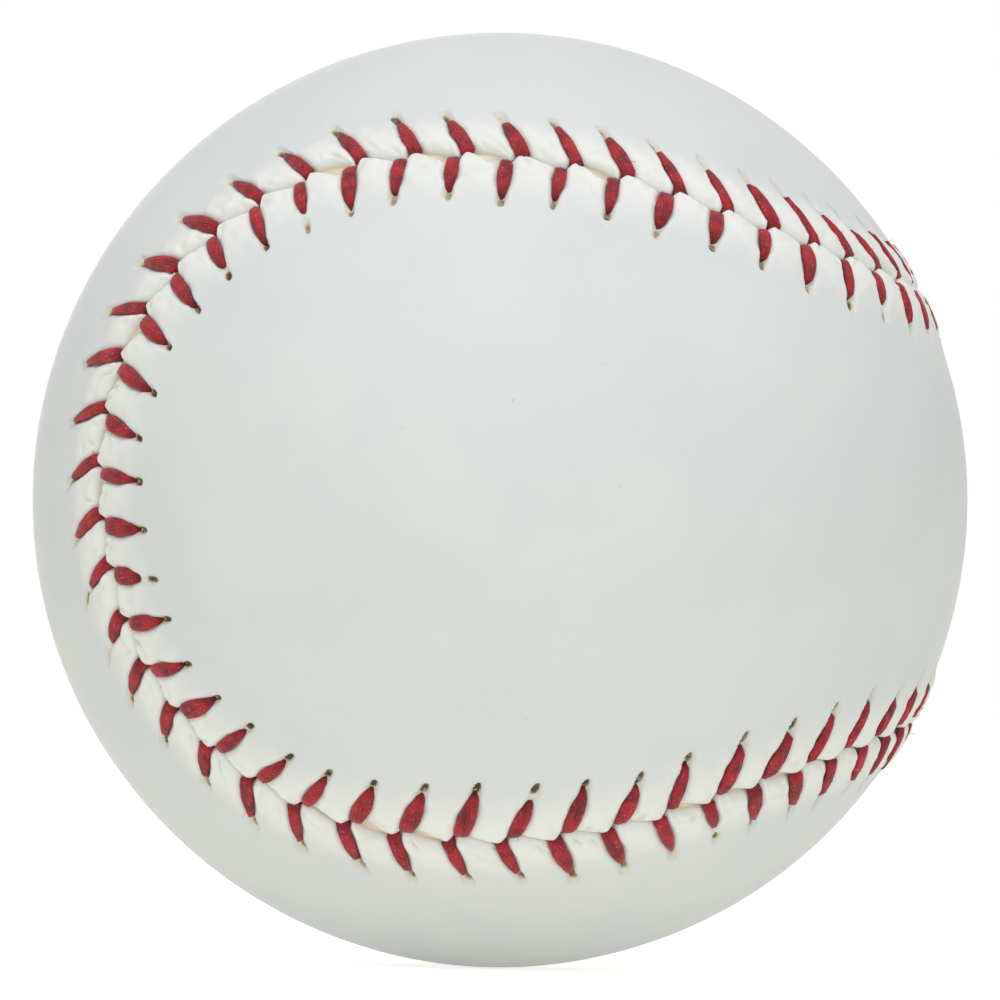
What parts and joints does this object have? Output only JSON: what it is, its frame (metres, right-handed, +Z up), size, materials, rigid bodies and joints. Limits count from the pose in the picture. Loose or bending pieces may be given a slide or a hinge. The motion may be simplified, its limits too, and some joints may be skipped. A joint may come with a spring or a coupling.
{
  "type": "baseball",
  "caption": "Round white leather ball of figure-eight panels, laced along one curved seam with raised red thread over a wound yarn and rubber core.",
  "frame": {"origin": "centre of the ball", "axes": "+Z up as pictured; -Y towards the camera, through the lobe of cover_panel_a; +X through that panel's narrow waist, on the seam's four-fold axis"},
  "size_m": [0.0738, 0.0738, 0.0738],
  "materials": {
    "leather": "smooth satin white tanned hide, faintly grained",
    "red_thread": "waxed plied cotton thread, dark red",
    "cement": "dried latex cement, thin and dull",
    "white_yarn": "fine cotton and polyester winding yarn",
    "white_wool": "three-ply wool yarn, undyed",
    "grey_wool": "wool yarn, heather grey",
    "red_rubber": "moulded red rubber, matt",
    "black_rubber": "moulded black rubber, matt",
    "cork": "composition cork, granular"
  },
  "bodies": {
    "root": {"cork_core": "cork", "inner_shell_left": "black_rubber", "inner_shell_right": "black_rubber", "shell_washer": "red_rubber", "pill_cover": "red_rubber", "first_winding": "grey_wool", "second_winding": "white_wool", "third_winding": "grey_wool", "finishing_winding": "white_yarn", "adhesive_coat": "cement", "cover_panel_a": "leather", "cover_panel_b": "leather", "thread_a": "red_thread", "thread_b": "red_thread"}
  },
  "joints": []
}
